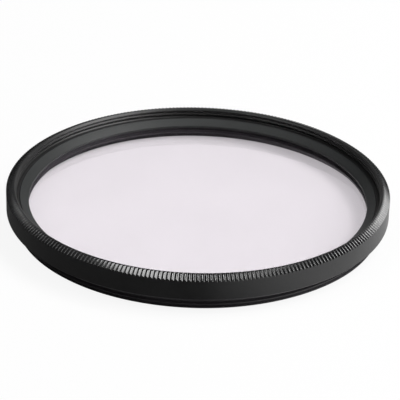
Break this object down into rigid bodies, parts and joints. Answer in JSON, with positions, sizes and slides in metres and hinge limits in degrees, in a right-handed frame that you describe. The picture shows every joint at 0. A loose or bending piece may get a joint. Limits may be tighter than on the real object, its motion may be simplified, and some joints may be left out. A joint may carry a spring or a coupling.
{
  "type": "screw-in skylight filter",
  "caption": "Round screw-in skylight filter: a pale glass disc in a thin black ring with a knurled bevel, a front thread and a rear thread.",
  "frame": {"origin": "centre of the rear face, where the male thread ends", "axes": "+Z along the optical axis, out of the front of the filter"},
  "size_m": [0.0702, 0.0702, 0.0071],
  "materials": {
    "black_anodised": "black anodised, satin",
    "filter_glass": "polished, faint pink tint",
    "dark_anodised": "black anodised, fine matt"
  },
  "bodies": {
    "root": {"mount_ring": "black_anodised", "glass": "filter_glass", "retaining_ring": "dark_anodised"}
  },
  "joints": []
}
